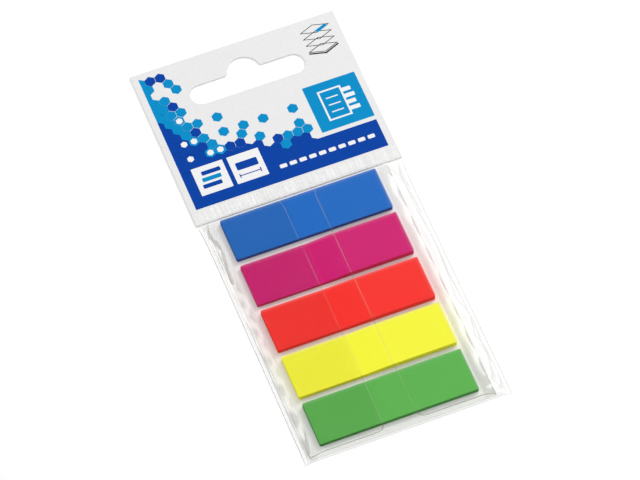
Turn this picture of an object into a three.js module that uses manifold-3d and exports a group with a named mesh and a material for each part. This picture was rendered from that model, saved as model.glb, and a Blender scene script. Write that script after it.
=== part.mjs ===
// Retail pack of film index tabs, lying flat on its back.
// A header card with a hang slot closes a clear film pouch.
// In the pouch a folded clear sheet dispenses five coloured pads.
// Millimetres, +Z up, +X along the tabs, +Y towards the hang slot.
// The origin lies under the middle of the pack, on the surface it rests on.

import * as THREE from 'three';
import { mergeVertices } from 'three/addons/utils/BufferGeometryUtils.js';
import Module from 'manifold-3d';

const wasm = await Module();
wasm.setup();

// Pads of tabs
const TAB_LENGTH = 43;
const TAB_WIDTH = 12.5;
const PAD_GAP = 1.85;
const PAD_CORNER = 0.45;
const FAN_LENGTH = 6;

// Heights of each stack at its flat left end and its fanned right end
const BLUE_LEFT = 1.3;
const BLUE_RIGHT = 1.35;
const MAGENTA_LEFT = 1.1;
const MAGENTA_RIGHT = 1.8;
const RED_LEFT = 1.5;
const RED_RIGHT = 1.8;
const YELLOW_LEFT = 1.3;
const YELLOW_RIGHT = 1.7;
const GREEN_LEFT = 1.4;
const GREEN_RIGHT = 1.45;

// The pads from the head of the pack to its foot
const PADS = [
  { name: 'blue_pad', colour: 0x2c6fc0, left: BLUE_LEFT, right: BLUE_RIGHT },
  { name: 'magenta_pad', colour: 0xc81e6e, left: MAGENTA_LEFT, right: MAGENTA_RIGHT },
  { name: 'red_pad', colour: 0xf2392f, left: RED_LEFT, right: RED_RIGHT },
  { name: 'yellow_pad', colour: 0xf8f042, left: YELLOW_LEFT, right: YELLOW_RIGHT },
  { name: 'green_pad', colour: 0x5ca850, left: GREEN_LEFT, right: GREEN_RIGHT },
];

// Folded dispenser sheet
const SHEET = 0.2;
const CREASE_RADIUS = 0.15;
const SHEET_SIDE_MARGIN = 3.7;
const SHEET_HEAD_MARGIN = 0.5;
const SHEET_FOOT_MARGIN = 2.6;
const KNEE_CLEARANCE = 0.4;
const WINDOW_WIDTH = 8.6;
const WINDOW_SHIFT = -0.3;
const WING_INSET = 0.3;
const WING_CORNER = 3;

// Header card
const CARD = 0.35;
const CARD_SHOWN = 44.55;
const TONGUE = 4.2;

// Hang slot
const SLOT_LENGTH = 32;
const SLOT_HEIGHT = 6.15;
const SLOT_FROM_TOP = 8.7;
const HOOK_RADIUS = 4.65;
const HOOK_FROM_TOP = 4.65;
const HOOK_FILLET = 0.8;

// Film pouch
const FILM = 0.08;
const FILM_CLEARANCE = 0.12;
const SIDE_SEAL = 0.8;
const LEFT_ROOM = 0.8;
const RIGHT_ROOM = 3;
const WAIST = 0.6;
const WAIST_REACH = 3;
const MOUTH_RAMP = 1.1;
const FOOT_ROOM = 0.65;
const FOOT_LIP = 0.18;
const EAR = 0.4;
const EAR_REACH = 3;
const PUCKER = 0.16;
const PUCKER_PITCH = 9;

// Ridges of the heat seal
const RIDGE_PITCH = 0.8;
const RIDGE_HEIGHT = 0.12;
const RIDGE_LENGTH = 3.7;

// How far each cutting shape reaches past what it cuts
const CUT_MARGIN = 2;

// Heights above the surface, from the back film upwards
const floorZ = FILM;
const padZ = floorZ + SHEET;
const leftWingZ = padZ + Math.max(...PADS.map((pad) => pad.left));
const rightWingZ = padZ + Math.max(...PADS.map((pad) => pad.right));
const roofZ = Math.max(leftWingZ, rightWingZ) + SHEET + FILM_CLEARANCE + FILM;
const cardTopZ = floorZ + CARD;
const sealTopZ = cardTopZ + FILM;

// Places along Y, first as distances above the lowest pad's lower edge
const padPitch = TAB_WIDTH + PAD_GAP;
const padsLength = padPitch * (PADS.length - 1) + TAB_WIDTH;
const sheetLength = SHEET_FOOT_MARGIN + padsLength + SHEET_HEAD_MARGIN;
const wingLength = sheetLength - 2 * WING_INSET;
const footRamp = FOOT_ROOM + WING_INSET;
const packLength = EAR + footRamp + wingLength + MOUTH_RAMP + TONGUE + CARD_SHOWN;
const earY = -packLength / 2;
const foldY = earY + EAR;
const wingFootY = foldY + footRamp;
const wingHeadY = wingFootY + wingLength;
const tongueY = wingHeadY + MOUTH_RAMP;
const mouthY = tongueY + TONGUE;
const cardHeadY = mouthY + CARD_SHOWN;
const sheetFootY = foldY + FOOT_ROOM;
const sheetHeadY = sheetFootY + sheetLength;
const firstPadY = sheetHeadY - SHEET_HEAD_MARGIN - TAB_WIDTH / 2;

// Places along X: the contents lie nearer to the left seal
const sheetHalf = TAB_LENGTH / 2 + SHEET_SIDE_MARGIN;
const cardHalf = sheetHalf + (LEFT_ROOM + RIGHT_ROOM) / 2 + SIDE_SEAL + WAIST;
const contentsX = (LEFT_ROOM - RIGHT_ROOM) / 2;
const windowLeft = contentsX + WINDOW_SHIFT - WINDOW_WIDTH / 2;
const windowRight = windowLeft + WINDOW_WIDTH;

function toSolid(geometry) {
  const bare = geometry.clone();
  bare.deleteAttribute('normal');
  bare.deleteAttribute('uv');
  const merged = mergeVertices(bare, 1e-5);
  return new wasm.Manifold(new wasm.Mesh({
    numProp: 3,
    vertProperties: new Float32Array(merged.attributes.position.array),
    triVerts: new Uint32Array(merged.index.array),
  }));
}

function toGeometry(solid) {
  const mesh = solid.getMesh();
  const geometry = new THREE.BufferGeometry();
  geometry.setAttribute('position', new THREE.BufferAttribute(mesh.vertProperties, 3));
  geometry.setIndex(new THREE.BufferAttribute(mesh.triVerts, 1));
  geometry.computeVertexNormals();
  return geometry;
}

// A plan outline in X and Y, raised from one height to another
function raise(shape, lowZ, highZ, curveSegments = 10) {
  const options = { depth: highZ - lowZ, bevelEnabled: false, curveSegments };
  return new THREE.ExtrudeGeometry(shape, options).translate(0, 0, lowZ);
}

// A section outline in X and Z, drawn out along Y
function drawAlongY(shape, lowY, highY, curveSegments = 10) {
  const options = { depth: highY - lowY, bevelEnabled: false, curveSegments };
  const turn = new THREE.Matrix4().makeBasis(
    new THREE.Vector3(1, 0, 0),
    new THREE.Vector3(0, 0, 1),
    new THREE.Vector3(0, -1, 0),
  );
  return new THREE.ExtrudeGeometry(shape, options).applyMatrix4(turn).translate(0, highY, 0);
}

function roundedRectangle(lowX, lowY, highX, highY, radius) {
  const shape = new THREE.Shape();
  shape.moveTo(lowX + radius, lowY);
  shape.lineTo(highX - radius, lowY);
  shape.absarc(highX - radius, lowY + radius, radius, -Math.PI / 2, 0);
  shape.lineTo(highX, highY - radius);
  shape.absarc(highX - radius, highY - radius, radius, 0, Math.PI / 2);
  shape.lineTo(lowX + radius, highY);
  shape.absarc(lowX + radius, highY - radius, radius, Math.PI / 2, Math.PI);
  shape.lineTo(lowX, lowY + radius);
  shape.absarc(lowX + radius, lowY + radius, radius, Math.PI, 1.5 * Math.PI);
  return shape;
}

// One pad: a stack of tabs whose right half is fanned up by the glued ends
function padGeometry(pad) {
  const left = contentsX - TAB_LENGTH / 2;
  const right = left + TAB_LENGTH;
  const leftTop = padZ + pad.left;
  const rightTop = padZ + pad.right;
  const fanStart = contentsX - FAN_LENGTH / 2;
  const fanEnd = fanStart + FAN_LENGTH;
  const middle = (fanStart + fanEnd) / 2;
  const section = new THREE.Shape();
  section.moveTo(left, padZ);
  section.lineTo(right, padZ);
  section.lineTo(right, rightTop);
  section.lineTo(fanEnd, rightTop);
  section.bezierCurveTo(middle, rightTop, middle, leftTop, fanStart, leftTop);
  section.lineTo(left, leftTop);
  const halfWidth = TAB_WIDTH / 2;
  const plan = roundedRectangle(left, -halfWidth, right, halfWidth, PAD_CORNER);
  const planSolid = toSolid(raise(plan, padZ, Math.max(leftTop, rightTop), 5));
  const sectionSolid = toSolid(drawAlongY(section, -halfWidth, halfWidth, 10));
  return toGeometry(planSolid.intersect(sectionSolid));
}

// The outline of a thin sheet, half its thickness to each side of a middle line
function ribbon(line, thickness) {
  const sides = [[], []];
  line.forEach((point, index) => {
    const before = line[Math.max(0, index - 1)];
    const after = line[Math.min(line.length - 1, index + 1)];
    const arriving = point.clone().sub(before).normalize();
    const leaving = after.clone().sub(point).normalize();
    const along = arriving.clone().add(leaving).normalize();
    const across = new THREE.Vector2(-along.y, along.x);
    const straight = index === 0 ? leaving : arriving;
    const mitre = thickness / 2 / Math.abs(across.dot(new THREE.Vector2(-straight.y, straight.x)));
    sides[0].push(point.clone().addScaledVector(across, mitre));
    sides[1].unshift(point.clone().addScaledVector(across, -mitre));
  });
  return new THREE.Shape([...sides[0], ...sides[1]]);
}

// The middle line of the folded sheet: wing, crease, back, crease, wing
function foldLine() {
  const radius = CREASE_RADIUS + SHEET / 2;
  const creaseZ = floorZ + SHEET / 2 + radius;
  const creaseX = sheetHalf - SHEET / 2 - radius;
  const kneeX = TAB_LENGTH / 2 + KNEE_CLEARANCE;
  const steps = 6;
  const line = [
    new THREE.Vector2(windowLeft, leftWingZ + SHEET / 2),
    new THREE.Vector2(contentsX - kneeX, leftWingZ + SHEET / 2),
  ];
  for (let step = 0; step <= steps; step += 1) {
    const angle = Math.PI / 2 + Math.PI * step / steps;
    const x = contentsX - creaseX + radius * Math.cos(angle);
    line.push(new THREE.Vector2(x, creaseZ + radius * Math.sin(angle)));
  }
  for (let step = 0; step <= steps; step += 1) {
    const angle = -Math.PI / 2 + Math.PI * step / steps;
    const x = contentsX + creaseX + radius * Math.cos(angle);
    line.push(new THREE.Vector2(x, creaseZ + radius * Math.sin(angle)));
  }
  line.push(new THREE.Vector2(contentsX + kneeX, rightWingZ + SHEET / 2));
  line.push(new THREE.Vector2(windowRight, rightWingZ + SHEET / 2));
  return line;
}

// The folded sheet, with the ends of both wings trimmed back and rounded
function sheetGeometry() {
  const folded = toSolid(drawAlongY(ribbon(foldLine(), SHEET), sheetFootY, sheetHeadY));
  const left = contentsX - sheetHalf - WING_CORNER - CUT_MARGIN;
  const right = contentsX + sheetHalf + WING_CORNER + CUT_MARGIN;
  const waste = roundedRectangle(
    left - CUT_MARGIN,
    sheetFootY - CUT_MARGIN,
    right + CUT_MARGIN,
    sheetHeadY + CUT_MARGIN,
    CUT_MARGIN,
  );
  waste.holes.push(roundedRectangle(left, wingFootY, windowLeft, wingHeadY, WING_CORNER));
  waste.holes.push(roundedRectangle(windowRight, wingFootY, right, wingHeadY, WING_CORNER));
  const trimZ = floorZ + SHEET + CREASE_RADIUS;
  const trim = toSolid(raise(waste, trimZ, roofZ + CUT_MARGIN));
  return toGeometry(folded.subtract(trim));
}

// The hang slot: a long slot with a raised middle for a single hook
function hangSlot() {
  const slotTop = cardHeadY - SLOT_FROM_TOP;
  const endRadius = SLOT_HEIGHT / 2;
  const endX = SLOT_LENGTH / 2 - endRadius;
  const endY = slotTop - endRadius;
  const hookY = cardHeadY - HOOK_FROM_TOP - HOOK_RADIUS;
  const filletY = slotTop + HOOK_FILLET;
  const filletX = Math.sqrt((HOOK_RADIUS + HOOK_FILLET) ** 2 - (filletY - hookY) ** 2);
  const meeting = Math.atan2(filletY - hookY, filletX);
  const path = new THREE.Path();
  path.moveTo(-endX, slotTop - SLOT_HEIGHT);
  path.absarc(endX, endY, endRadius, -Math.PI / 2, Math.PI / 2);
  path.absarc(filletX, filletY, HOOK_FILLET, -Math.PI / 2, meeting - Math.PI, true);
  path.absarc(0, hookY, HOOK_RADIUS, meeting, Math.PI - meeting);
  path.absarc(-filletX, filletY, HOOK_FILLET, -meeting, -Math.PI / 2, true);
  path.absarc(-endX, endY, endRadius, Math.PI / 2, 1.5 * Math.PI);
  return path;
}

function cardGeometry() {
  const outline = new THREE.Shape();
  outline.moveTo(-cardHalf, tongueY);
  outline.lineTo(cardHalf, tongueY);
  outline.lineTo(cardHalf, cardHeadY);
  outline.lineTo(-cardHalf, cardHeadY);
  outline.holes.push(hangSlot());
  return raise(outline, floorZ, cardTopZ, 12);
}

// Half the pouch's width: flush with the card at the mouth, drawn in below it
function sideLine(y) {
  const below = Math.max(0, tongueY - y);
  return cardHalf - WAIST * (1 - Math.exp(-below / WAIST_REACH));
}

// How far the film slopes from a side seal to the knee of the folded sheet
function shoulderWidth(x) {
  const room = x < contentsX ? LEFT_ROOM : RIGHT_ROOM;
  return room + SHEET_SIDE_MARGIN - KNEE_CLEARANCE;
}

function easeUp(distance, reach) {
  return Math.sin(Math.min(1, Math.max(0, distance / reach)) * Math.PI / 2);
}

// The outer height of the front film over a point of the plan
function filmTop(x, y) {
  const fromSeal = Math.max(0, sideLine(y) - Math.abs(x) - SIDE_SEAL);
  const across = easeUp(fromSeal, shoulderWidth(x));
  const fromFold = FOOT_LIP + (1 - FOOT_LIP) * easeUp(y - foldY, footRamp);
  const fromMouth = easeUp(tongueY - y, MOUTH_RAMP);
  const edgeZ = 2 * FILM + (sealTopZ - 2 * FILM) * (1 - fromMouth);
  const wave = 0.5 - 0.5 * Math.cos(2 * Math.PI * (y - wingFootY) / PUCKER_PITCH);
  const shoulder = Math.sin(Math.min(1, fromSeal / shoulderWidth(x)) * Math.PI);
  const pucker = PUCKER * wave * shoulder * fromMouth;
  return edgeZ + (roofZ - edgeZ) * across * fromFold * fromMouth + pucker;
}

// Stations across the pouch, as distances in from each side and places between
function acrossStations() {
  const shares = [0, 0.08, 0.22, 0.42, 0.68, 1];
  const side = (sign) => {
    const inward = shares.map((share) => SIDE_SEAL + share * shoulderWidth(sign * cardHalf));
    return [0, ...inward].map((distance) => (y) => sign * (sideLine(y) - distance));
  };
  const between = [-TAB_LENGTH / 4, 0, TAB_LENGTH / 4].map((x) => () => x);
  return [...side(-1), ...between, ...side(1).reverse()];
}

// Stations along the pouch, from the foot fold to the mouth
function alongStations() {
  const rows = [foldY, foldY + FILM, foldY + footRamp / 3, foldY + footRamp * 2 / 3];
  const count = Math.round(wingLength / (PUCKER_PITCH / 4));
  for (let row = 0; row <= count; row += 1) {
    rows.push(wingFootY + wingLength * row / count);
  }
  rows.push(wingHeadY + MOUTH_RAMP / 3, wingHeadY + MOUTH_RAMP * 2 / 3, tongueY);
  return rows;
}

// A closed net over a grid of stations, from a flat floor to a height over the plan
function netSolid(columns, rows, lowZ, highZ) {
  const geometry = new THREE.BoxGeometry(1, 1, 1, columns.length - 1, rows.length - 1, 1);
  const points = geometry.attributes.position;
  for (let index = 0; index < points.count; index += 1) {
    const column = columns[Math.round((points.getX(index) + 0.5) * (columns.length - 1))];
    const rowY = rows[Math.round((points.getY(index) + 0.5) * (rows.length - 1))];
    const x = column(rowY);
    const corner = Math.max(0, 1 - (sideLine(rowY) - Math.abs(x)) / EAR_REACH);
    const foot = Math.max(0, 1 - (rowY - foldY) / footRamp);
    const z = points.getZ(index) > 0 ? highZ(x, rowY) : lowZ;
    points.setXYZ(index, x, rowY - EAR * corner * corner * foot, z);
  }
  return toSolid(geometry);
}

// The ridges that the sealing bar presses into the front film, as one strip
function ridgeSolid() {
  const count = Math.floor(2 * cardHalf / RIDGE_PITCH);
  const startX = -count * RIDGE_PITCH / 2;
  const rootZ = sealTopZ - FILM / 2;
  const strip = new THREE.Shape();
  strip.moveTo(startX, rootZ);
  for (let ridge = 0; ridge < count; ridge += 1) {
    const x = startX + ridge * RIDGE_PITCH;
    strip.lineTo(x, sealTopZ);
    strip.lineTo(x + RIDGE_PITCH / 2, sealTopZ + RIDGE_HEIGHT);
  }
  strip.lineTo(-startX, sealTopZ);
  strip.lineTo(-startX, rootZ);
  const margin = (TONGUE - RIDGE_LENGTH) / 2;
  return toSolid(drawAlongY(strip, tongueY + margin, mouthY - margin));
}

// The pouch: folded at the foot, sealed at the sides, and open to the card at its mouth
function pouchGeometry() {
  const columns = acrossStations();
  const rows = alongStations();
  const skin = netSolid(columns, [...rows, mouthY], 0, filmTop);
  const hollowRows = rows.slice(1);
  const hollow = netSolid(columns.slice(2, -2), hollowRows, FILM, (x, y) => filmTop(x, y) - FILM);
  const mouthLength = TONGUE + CUT_MARGIN;
  const mouthBox = new THREE.BoxGeometry(2 * (cardHalf + CUT_MARGIN), mouthLength, CARD);
  mouthBox.translate(0, tongueY + mouthLength / 2, floorZ + CARD / 2);
  const shell = skin.add(ridgeSolid()).subtract(hollow);
  return toGeometry(shell.subtract(toSolid(mouthBox)));
}

function piece(name, geometry, look) {
  const mesh = new THREE.Mesh(geometry, new THREE.MeshStandardMaterial(look));
  mesh.name = name;
  return mesh;
}

const filmLook = { roughness: 0.12, metalness: 0, transparent: true };
const pack = new THREE.Group();
pack.add(piece('header_card', cardGeometry(), { color: 0xebebeb, roughness: 0.4, metalness: 0 }));
pack.add(piece('pouch', pouchGeometry(), { ...filmLook, color: 0xf6f6f4, opacity: 0.2 }));
pack.add(piece('dispenser_sheet', sheetGeometry(), { ...filmLook, color: 0xe4e4de, opacity: 0.3 }));
PADS.forEach((pad, index) => {
  const look = { color: pad.colour, roughness: 0.5, metalness: 0 };
  const mesh = piece(pad.name, padGeometry(pad), look);
  mesh.position.y = firstPadY - index * padPitch;
  pack.add(mesh);
});

export default pack;
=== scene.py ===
"""A retail pack of film index tabs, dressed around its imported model.

The card, its print, the clear pouch with its heat seal, the folded dispenser sheet and
the five stacks of tabs each have an operator, and so does the stage. Settings are in
metres; the shapes themselves are worked out in millimetres.
"""

import math
import random

import bmesh
import bpy
import numpy as np
from bpy.props import FloatProperty, FloatVectorProperty, IntProperty, PointerProperty
from bpy.types import Operator, Panel, PropertyGroup
from mathutils import Matrix, Vector


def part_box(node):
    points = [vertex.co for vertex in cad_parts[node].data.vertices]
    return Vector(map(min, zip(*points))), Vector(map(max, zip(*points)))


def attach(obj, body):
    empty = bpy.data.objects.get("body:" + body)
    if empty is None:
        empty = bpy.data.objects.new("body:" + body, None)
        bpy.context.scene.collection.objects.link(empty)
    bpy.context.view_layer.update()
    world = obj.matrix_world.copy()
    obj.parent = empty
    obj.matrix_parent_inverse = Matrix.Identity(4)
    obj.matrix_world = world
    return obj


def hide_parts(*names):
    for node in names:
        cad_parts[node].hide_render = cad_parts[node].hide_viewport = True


bl_info = {
    "name": "Index tab pack",
    "version": (1, 0, 0),
    "blender": (4, 5, 0),
    "location": "View3D > Sidebar > Tab Pack",
    "description": "Dresses a pack of film index tabs with print, film, tabs and a stage",
    "category": "Object",
}

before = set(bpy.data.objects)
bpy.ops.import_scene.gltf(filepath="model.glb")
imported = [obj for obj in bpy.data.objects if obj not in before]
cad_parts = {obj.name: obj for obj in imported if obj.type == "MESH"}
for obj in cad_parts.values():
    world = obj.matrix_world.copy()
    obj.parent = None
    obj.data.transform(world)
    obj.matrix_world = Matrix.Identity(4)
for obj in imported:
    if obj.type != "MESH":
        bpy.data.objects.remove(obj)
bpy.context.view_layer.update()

MM = 0.001
BODY = "root"


def box_mm(node):
    """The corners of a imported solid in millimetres."""
    low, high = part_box(node)
    return Vector(low) / MM, Vector(high) / MM


CARD_LOW, CARD_HIGH = box_mm("header_card")
POUCH_LOW, POUCH_HIGH = box_mm("pouch")
SHEET_LOW, SHEET_HIGH = box_mm("dispenser_sheet")


def paint(red, green, blue):
    """A linear colour from the 0 to 255 values of a swatch."""
    shares = [value / 255 for value in (red, green, blue)]
    return tuple(s / 12.92 if s <= 0.04045 else ((s + 0.055) / 1.055) ** 2.4 for s in shares)


# Each stack: height at its left and right in mm, colour of the faces, colour of the edges
# The edge colours are partly painted shade: the blue and green ones are darker than their faces
STACKS = {
    "blue_pad": (1.3, 1.35, paint(4, 102, 192), paint(44, 48, 140)),
    "magenta_pad": (1.1, 1.8, paint(207, 0, 110), paint(214, 0, 80)),
    "red_pad": (1.5, 1.8, paint(255, 38, 30), paint(255, 42, 12)),
    "yellow_pad": (1.3, 1.7, paint(255, 252, 52), paint(255, 246, 16)),
    "green_pad": (1.4, 1.45, paint(90, 178, 76), paint(60, 124, 56)),
}

# Between which places, in mm, a stack rises to its right height, and how full and how
# finely cut its leaves are
FAN_START, FAN_END = -4.1, 1.9
LEAF_SHARE = 0.95
LEAF_COLUMNS = 14

# Places of the print on the card, in mm; a field is its left, foot, right and top
BAND_SIDE = (-26.8, 26.6)
BAND_FOOT, BAND_TOP = 17.55, 26.15
DASH_COUNT, DASH_START, DASH_PITCH, DASH_LENGTH = 10, -2.0, 2.72, 1.95
DASH_FOOT, DASH_TOP = 21.2, 22.35
PANEL = (12.0, 27.35, 26.7, 41.95)
PAGE = (15.4, 30.2, 21.4, 39.2)
MARKER_FOOT, MARKER_PITCH, MARKER_HEIGHT = 31.2, 2.0, 1.2
MARKER_ENDS = (24.4, 24.0, 24.4, 24.0)
LINE_COUNT, LINE_FOOT, LINE_PITCH = 3, 32.4, 2.2
LINE_LEFT, LINE_RIGHT = 16.9, 19.9
BOX_LEFTS, BOX_WIDTH = (-23.9, -14.0), 8.7
BOX_FOOT, BOX_TOP = 20.85, 29.45
PILE_COUNT, PILE_FOOT, PILE_PITCH, PILE_SHIFT = 3, 22.7, 1.95, 0.45
PILE_LEFT, PILE_RIGHT, PILE_HEIGHT = -22.6, -17.4, 1.25
SINGLE_TAB = (-12.6, 24.7, -6.7, 27.0)
RULE_LEFT, RULE_RIGHT, RULE_FOOT, RULE_TOP = -12.5, -6.8, 22.5, 23.5
SHEAF_COUNT, SHEAF_FOOT, SHEAF_PITCH = 4, 50.6, 2.1
SHEAF_PAGE = ((18.0, 1.1), (22.2, 0.0), (26.0, 1.5), (21.8, 2.6), (18.0, 1.1))
SHEAF_EDGE = ((18.0, 51.2), (22.2, 50.1), (26.0, 51.6))
SHEAF_MARKER, SHEAF_MARKER_TURN = (22.0, 57.35, 25.4, 58.25), 21

# Widths of the drawn lines, in mm
PAGE_LINE, TEXT_LINE, RULE_LINE, SHEAF_LINE, BOLD_LINE = 0.5, 0.35, 0.28, 0.2, 0.42

# The honeycomb: how far it reaches, in mm, and how its rows lie, in cells
CELL_COLUMNS = 15
ROW_RISE = 0.866
FIRST_ROW_SINK = 0.3
PATTERN_RIGHT = 9.9
CORNER_LEFT, CORNER_FOOT = -18.4, 43.5
BOXES_RIGHT, BOXES_TOP = -4.0, 31.4
PRINT_MARGIN = 0.02

# Its outline over the band: a lift, and the height and reach of two curves, in mm
OUTLINE_LIFT = 1.4
OUTLINE = ((35, 4.9), (5, 16))
SOLID_DEPTH, LOOSE_DEPTH = -3.4, 10
WHITE_DEPTHS = (-4.5, 0.8)

# Its cells: shares of light, loose and white ones, and their sizes
LIGHT_SHARE, LOOSE_LIGHT_SHARE, WHITE_SHARE = 0.42, 0.66, 0.2
LOOSE_SHARE, LOOSE_REACH = 0.95, 5.2
CLOSE_SIZE, LOOSE_SIZE, WHITE_SIZE = 1.02, 0.97, 0.6

# A step in height that keeps ink that overlaps out of one plane, in mm
HAIR = 0.001

# The gap between the sheet's two wings, in mm
WINDOW = (-5.7, 2.9)
WING_CORNER = 3.0
LEFT_WING_TOP = 1.98

# The cut edges of the wings, in mm
END_INSET, SIDE_INSET = 0.3, 0.1
EDGE_WIDTH, EDGE_LIFT = 0.18, 0.012
KNEE_RUN, KNEE_FOOT = 3.1, 0.45
WING_COLUMNS = 12

# Share of a bright tab's colour that is painted as its light on the sheet under it
TAB_LIGHT_SHARE = 0.6

# The pouch's film, in mm: thickness, seals, slopes and soft waves
FILM = 0.08
LIP = 2 * FILM
SIDE_SEAL = 0.8
SHOULDERS = (4.1, 6.3)
WAIST, WAIST_REACH = 0.6, 3
FOOT_RAMP, FOOT_LIP = 0.95, 0.18
MOUTH_RAMP = 1.1
EAR, EAR_PULL, EAR_REACH = 0.4, 0.38, 3
PUCKER, PUCKER_PITCH = 0.16, 9
RIPPLE = 0.035
LOOSE_FROM_SEAL = 1.2
FOLD_Y = POUCH_LOW.y + EAR

# How far the film lies below the pack's full height, which only its creases reach
ROOF_DROP, CREASE_DROP = 0.09, 0.01

# The film's grid: share of half the width with close columns, then rows and their counts
MARGIN_SHARE, MARGIN_COLUMNS, MIDDLE_COLUMNS = 0.24, 26, 32
ROW_STOPS = (FOLD_Y, FOLD_Y + 1.2, CARD_LOW.y - 1.4, CARD_LOW.y, POUCH_HIGH.y)
ROW_COUNTS = (9, 112, 10, 6)

# The heat seal's strip, in mm, and its ridges: widths in mm, shares of their height
SEAL_SIDE, SEAL_END, SEAL_LIFT, SEAL_SLOPE = 0.05, 0.25, 0.002, 0.2
RIDGE_WIDTHS, RIDGE_FEET, RIDGE_TOPS = (0.16, 0.42), (0.0, 0.2), (0.45, 1.0)

# Where the looks change, as a start and an end in mm
# Where a tab face turns from darker at its left end to its even colour
DARK_LEFT_SPAN = (-7.2, -4.2)
# How far the painted light reaches in from a tab face's upper and outer edges
RIM_LIGHT_UPPER, RIM_LIGHT_OUTER = 1.3, 1.1
MOUTH_FADE = (10.8, 11.8)
FOLD_FADE = (-60.2, -59.4)
# Where painted shade makes the pouch's left side greyer
LEFT_SHADE_SPAN = (-24.1, -25.0)
HEAD_FADE = (11.4, 11.8)
HEAD_LINES = (11.4, 11.7)
SHEET_SPAN = (-60, 12)
RIGHT_MARGIN = (20.5, 21.5)
LOWER_MARGIN = (-4, -52)
BACK_TOP = 0.35
FOOT_LINES = -58.3
STACK_MIDDLE, STACK_HALF = -1.1, 21.6

# The floor: how much of its white the camera sees as its own light, its half width in
# metres, and how far it lies under the pack in mm
FLOOR_GLOW = 0.16
FLOOR_HALF = 3.0
FLOOR_DROP = 0.02

# Softboxes: place and size in metres, share of the key's power
SOFTBOXES = (
    ("Key", (0.62, 0.38, 0.74), (0.36, 0.36), 1.0),
    ("Rim", (-0.8, 0.45, 0.5), (0.12, 0.6), 0.14),
)

# The camera's place, target and sensor in mm, its roll in degrees, and the nearest
# distance that it shows, in metres
CAMERA_SPOT = (-218.886, -546.489, 993.36)
CAMERA_TARGET = (-0.419, -2.206, 0)
SENSOR_WIDTH = 36
CAMERA_ROLL = 0.216
NEAREST = 0.01

# Creases in the film: points along each, its half width and its height, in mm
CREASES = (
    (((-25.0, 13.0), (-26.2, 9.0), (-24.8, 4.0), (-25.8, -6.0)), 0.35, 0.42),
    (((-27.3, 10.0), (-26.6, 2.0), (-27.2, -9.0)), 0.25, 0.30),
    (((-24.2, 8.0), (-23.2, -6.0), (-22.4, -24.0)), 0.22, 0.08),
    (((-27.0, -8.0), (-26.5, -30.0), (-26.9, -56.0)), 0.28, 0.22),
    (((20.5, 12.7), (23.4, 9.6), (26.8, 4.0)), 0.40, 0.42),
    (((26.8, 12.8), (25.2, 6.0), (26.6, -4.0)), 0.32, 0.40),
    (((25.2, 2.0), (26.3, -14.0), (25.0, -30.0)), 0.28, 0.36),
    (((27.0, -10.0), (25.9, -24.0), (26.8, -40.0)), 0.26, 0.32),
    (((24.5, -31.0), (26.5, -37.0), (25.0, -43.5), (26.9, -50.5)), 0.34, 0.50),
    (((26.9, -38.0), (25.6, -47.0), (27.1, -56.0)), 0.26, 0.42),
    (((21.4, -58.0), (24.8, -55.4), (26.0, -49.0)), 0.34, 0.44),
    (((22.8, -60.5), (26.0, -58.4), (27.4, -52.0)), 0.32, 0.42),
    (((24.0, -57.0), (25.4, -59.6), (27.3, -60.9)), 0.26, 0.36),
    (((-27.4, -60.8), (-25.6, -58.6), (-24.6, -54.0)), 0.34, 0.38),
    (((-26.8, -60.0), (-24.8, -60.6), (-22.5, -60.4)), 0.26, 0.26),
    (((-18.0, -61.0), (-6.0, -60.2), (8.0, -60.7)), 0.30, 0.16),
    (((-22.0, 12.6), (-14.0, 12.1), (-2.0, 12.7)), 0.25, 0.12),
    (((-2.9, -46.2), (-1.6, -52.0), (0.4, -57.4)), 0.34, 0.085),
    (((-4.6, 9.6), (-4.9, 4.0), (-4.4, -0.4)), 0.30, 0.07),
    (((0.9, 11.0), (1.2, 5.0), (0.7, -0.5)), 0.34, 0.08),
    (((5.6, -34.5), (6.4, -40.0), (6.0, -44.2)), 0.34, 0.075),
    (((9.0, -47.0), (10.6, -51.0), (11.0, -57.0)), 0.36, 0.08),
    (((-12.0, -20.0), (-11.2, -25.0), (-11.6, -29.0)), 0.30, 0.065),
    (((4.0, 12.7), (14.0, 12.0), (23.0, 12.8)), 0.25, 0.12),
)


class CardSettings(PropertyGroup):
    """Colours and sizes of the card and its print."""

    card: FloatVectorProperty(
        name="Card", description="Printed ground", subtype="COLOR", default=paint(236, 236, 236)
    )
    raw: FloatVectorProperty(
        name="Board",
        description="Cut edges and back",
        subtype="COLOR",
        default=paint(246, 245, 242),
    )
    deep: FloatVectorProperty(
        name="Deep ink", description="The band", subtype="COLOR", default=paint(0, 66, 164)
    )
    light: FloatVectorProperty(
        name="Light ink", description="The panel", subtype="COLOR", default=paint(0, 143, 203)
    )
    dark: FloatVectorProperty(
        name="Dark ink", description="The line drawing", subtype="COLOR", default=paint(34, 34, 34)
    )
    cell: FloatProperty(
        name="Cell", description="Width of a honeycomb cell", default=2.75 * MM, unit="LENGTH"
    )
    ink: FloatProperty(
        name="Ink", description="Height of one layer of ink", default=0.006 * MM, unit="LENGTH"
    )


class TabSettings(PropertyGroup):
    """How the stacks of tabs are made up."""

    leaves: IntProperty(name="Leaves", description="Tabs in one stack", default=26, min=2)
    corner: FloatProperty(
        name="Corner", description="Radius of a tab's corners", default=0.36 * MM, unit="LENGTH"
    )
    stray: FloatProperty(
        name="Stray",
        description="How far a tab lies out of line",
        default=0.03 * MM,
        unit="LENGTH",
    )
    room: FloatProperty(
        name="Room", description="Air over a stack", default=0.03 * MM, unit="LENGTH"
    )


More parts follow.
